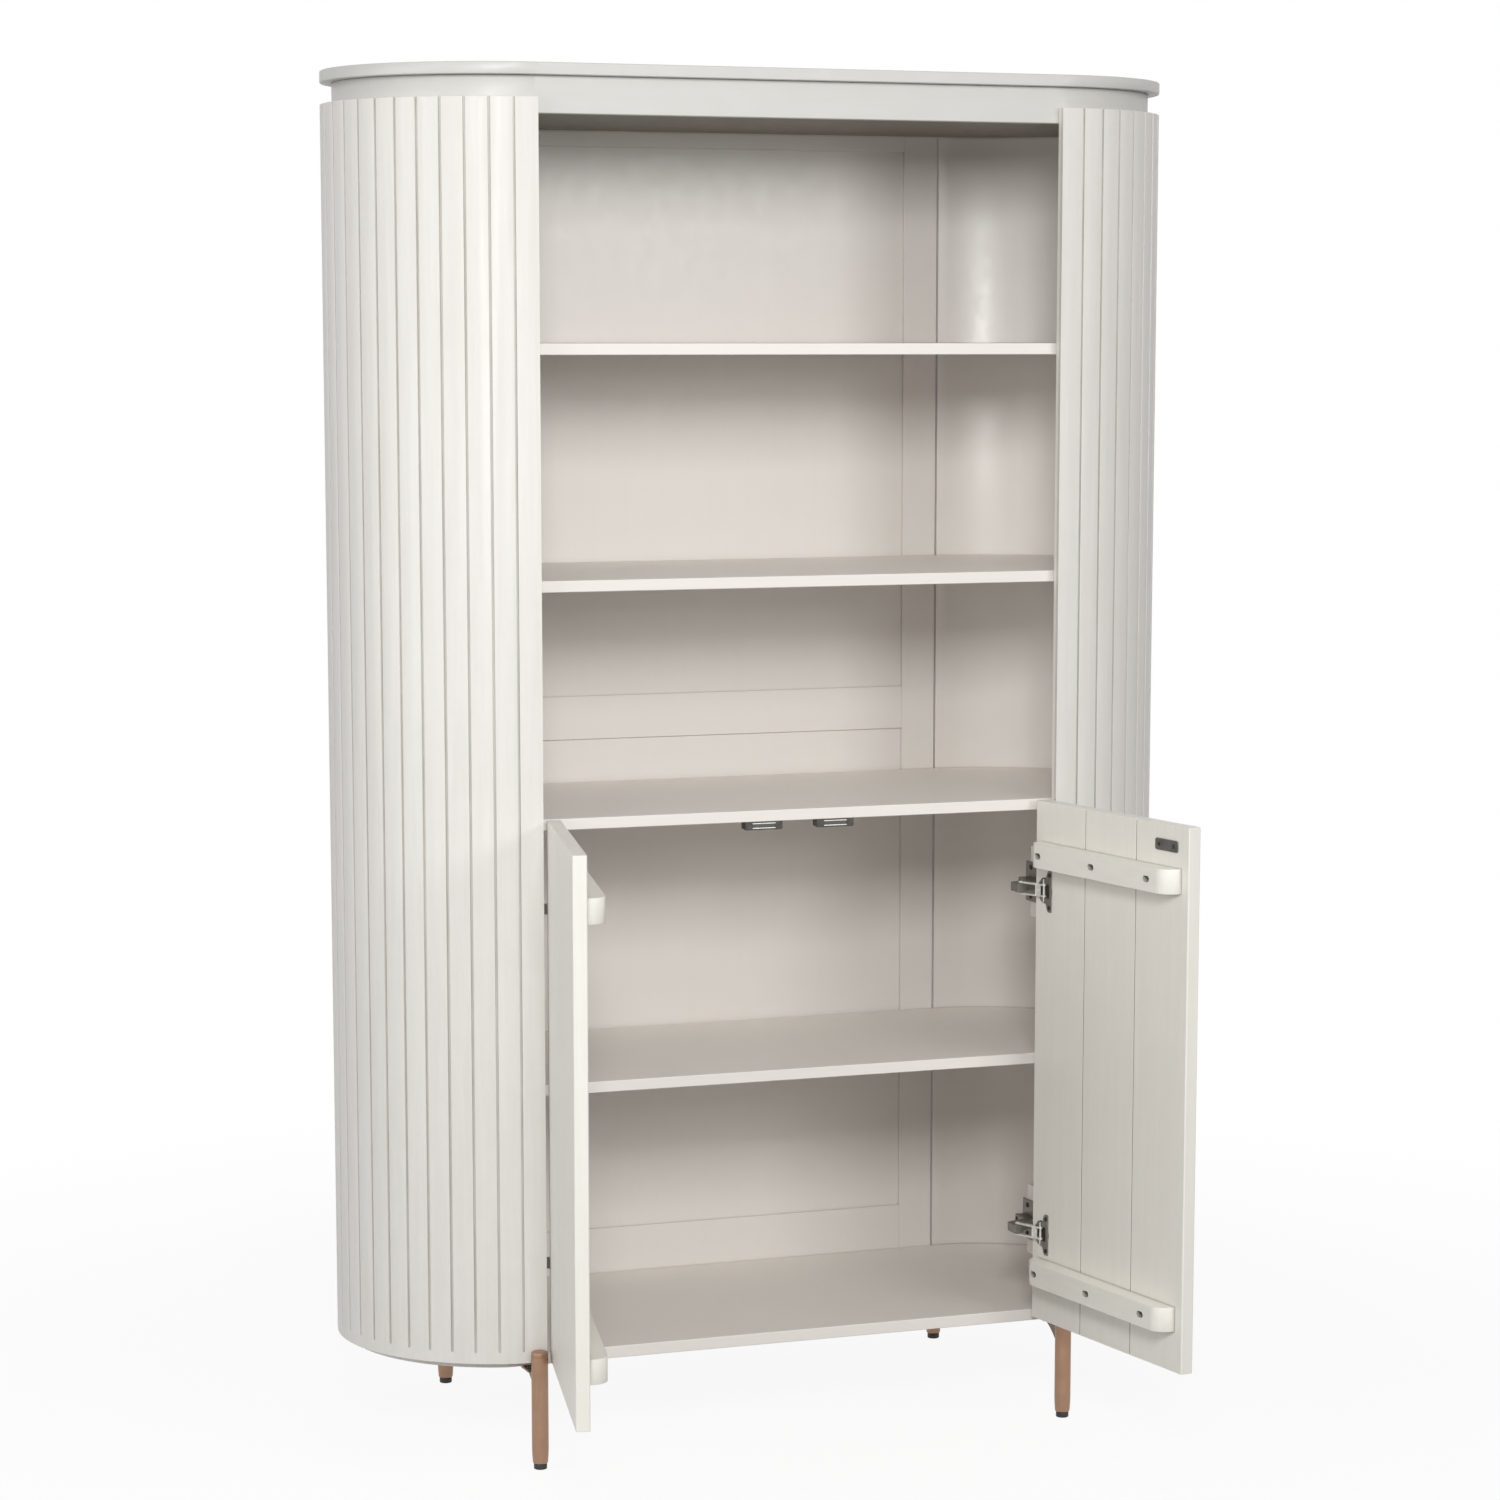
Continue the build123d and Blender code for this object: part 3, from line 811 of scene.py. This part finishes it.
# Floor, backdrop and lights
studio = {"floor": rgb(.93, .93, .93), "bounce": rgb(.40, .40, .40), "ambient": .36,
          "lift": .91, "shadowReach": (.7, 2.4), "floorSize": 30.0}
softboxes = {
    "right": {"place": (1.55, -5.0, 2.2), "aim": (.1, 0, 1.0), "size": 1.0, "power": 44, "colour": (1, .995, .985)},
    "middle": {"place": (-1.2, -3.8, 2.4), "aim": (0, 0, 1.0), "size": .9, "power": 75, "colour": (1, .995, .985)},
    "left": {"place": (-4.2, -2.2, 1.8), "aim": (0, 0, 1.0), "size": 1.6, "power": 30, "colour": (.99, .995, 1)},
    "side": {"place": (-4.4, -.6, 1.6), "aim": (0, 0, 1.0), "size": 1.8, "power": 20, "colour": (.99, .995, 1)},
}


def floorPaint():
    # white far off, with the cabinet's shadow near it
    paint = Paint("studio_floor")
    place = paint.place()
    seen = paint.seen()
    haze = paint.noise(place, 1.4, 4.0)
    colour = paint.blend(haze.ramp(.3, .7), rgb(.925, .925, .925), studio["floor"])
    colour = paint.blend(seen, studio["bounce"], colour)
    paint.finish(Base_Color=colour, Roughness=.85, Specular_IOR_Level=.1, Normal=paint.bump(haze, .0002))
    x, y, z = paint.axes(place)
    away = (x * x + y * y) ** .5
    glow = paint.node("ShaderNodeEmission", {"Color": rgb(1, 1, 1), "Strength": 1.0})
    surface = Wire(paint, paint.shader.outputs[0])
    near, far = studio["shadowReach"]
    share = away.ramp(near, far, studio["lift"], 1.0) * seen
    paint.feed(paint.tree.nodes["Material Output"].inputs["Surface"], paint.either(share, surface, glow))
    return paint.material


floorMesh = bmesh.new()
bmesh.ops.create_grid(floorMesh, x_segments=8, y_segments=8, size=studio["floorSize"])
floorData = bpy.data.meshes.new("floor")
floorMesh.to_mesh(floorData)
floor = bpy.data.objects.new("floor", floorData)
bpy.context.scene.collection.objects.link(floor)
floorData.materials.append(floorPaint())


def studioWorld():
    # low warm light on the cabinet, white where the camera or a mirror looks past it
    world = bpy.data.worlds.new("studio")
    bpy.context.scene.world = world
    world.use_nodes = True
    sky = Tree(world.node_tree)
    sky.tree.nodes.clear()
    ambient = sky.node("ShaderNodeBackground", {"Color": rgb(1, .995, .985), "Strength": studio["ambient"]})
    white = sky.node("ShaderNodeBackground", {"Color": rgb(1, 1, 1), "Strength": 1.0})
    output = sky.tree.nodes.new("ShaderNodeOutputWorld")
    sky.feed(output.inputs["Surface"], sky.either(sky.seen(), ambient, white))


def softbox(name):
    look = softboxes[name]
    data = bpy.data.lights.new(name, "AREA")
    data.shape = "RECTANGLE"
    data.size = data.size_y = look["size"]
    data.energy = look["power"]
    data.color = look["colour"]
    lamp = bpy.data.objects.new(name, data)
    bpy.context.scene.collection.objects.link(lamp)
    lamp.location = look["place"]
    lamp.rotation_euler = (Vector(look["aim"]) - Vector(look["place"])).to_track_quat("-Z", "Y").to_euler()


studioWorld()
for name in softboxes:
    softbox(name)

# Camera at the photograph's viewpoint
shot = {"focal": 3969.5, "place": (-1.8201, -5.0459, 1.4587), "yaw": 19.85, "pitch": 8.05,
        "across": 750, "down": 900, "frame": 1500, "sensor": 36}
lens = bpy.data.cameras.new("camera")
lens.sensor_width = shot["sensor"]
lens.lens = shot["focal"] * shot["sensor"] / shot["frame"]
lens.shift_x = .5 - shot["across"] / shot["frame"]
lens.shift_y = shot["down"] / shot["frame"] - .5
camera = bpy.data.objects.new("camera", lens)
bpy.context.scene.collection.objects.link(camera)
camera.location = shot["place"]
camera.rotation_euler = (math.radians(90 - shot["pitch"]), 0, math.radians(-shot["yaw"]))
bpy.context.scene.camera = camera
bpy.context.scene.view_settings.view_transform = "Standard"
print("studio and camera ready")
